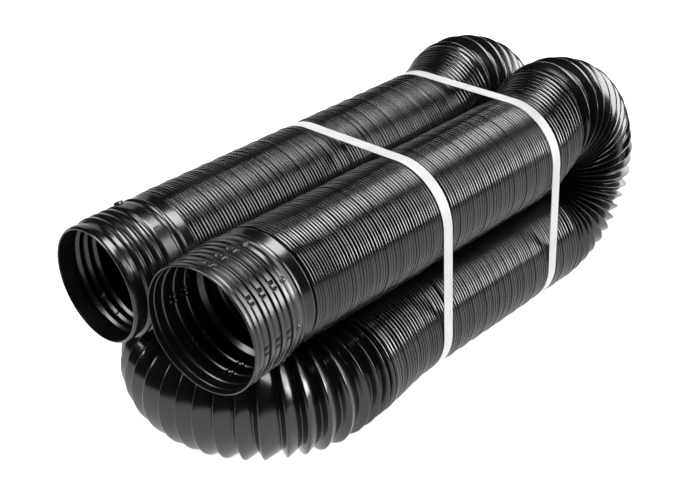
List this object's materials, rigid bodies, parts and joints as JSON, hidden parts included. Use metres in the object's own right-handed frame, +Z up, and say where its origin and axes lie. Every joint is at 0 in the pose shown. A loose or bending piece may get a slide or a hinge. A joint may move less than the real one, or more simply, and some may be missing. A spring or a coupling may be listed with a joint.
{
  "type": "folded bellows drain hose",
  "caption": "Long expanding corrugated drain hose with a spigot cuff and a socket cuff, folded flat into a bundle held by two white straps; both cuffs pull out on their bellows.",
  "frame": {"origin": "middle of the front strap's underside, on the surface the bundle lies on", "axes": "+Z up, +Y along the hose runs away from the two mouths, +X to the socket's side"},
  "size_m": [0.2779, 0.641, 0.2582],
  "materials": {
    "hose": "moulded black polypropylene, satin gloss",
    "cuff": "moulded black polypropylene, satin gloss",
    "strap": "embossed white polypropylene strapping"
  },
  "bodies": {
    "bundle": {"upper_left_run": "hose", "left_rear_bend": "hose", "lower_left_run": "hose", "front_bend": "hose", "lower_right_run": "hose", "right_rear_bend": "hose", "upper_right_run": "hose", "spigot_end_bellows": "hose", "socket_end_bellows": "hose", "front_strap": "strap", "rear_strap": "strap"},
    "spigot": {"spigot_cuff": "cuff"},
    "socket": {"socket_cuff": "cuff"}
  },
  "joints": [
    {"name": "spigot_pull", "type": "slide", "parent": "bundle", "child": "spigot", "axis": [0, -1, 0], "range_m": [0, 0.4], "deforming": ["spigot_end_bellows"]},
    {"name": "socket_pull", "type": "slide", "parent": "bundle", "child": "socket", "axis": [0, -1, 0], "range_m": [0, 0.4], "deforming": ["socket_end_bellows"]}
  ]
}
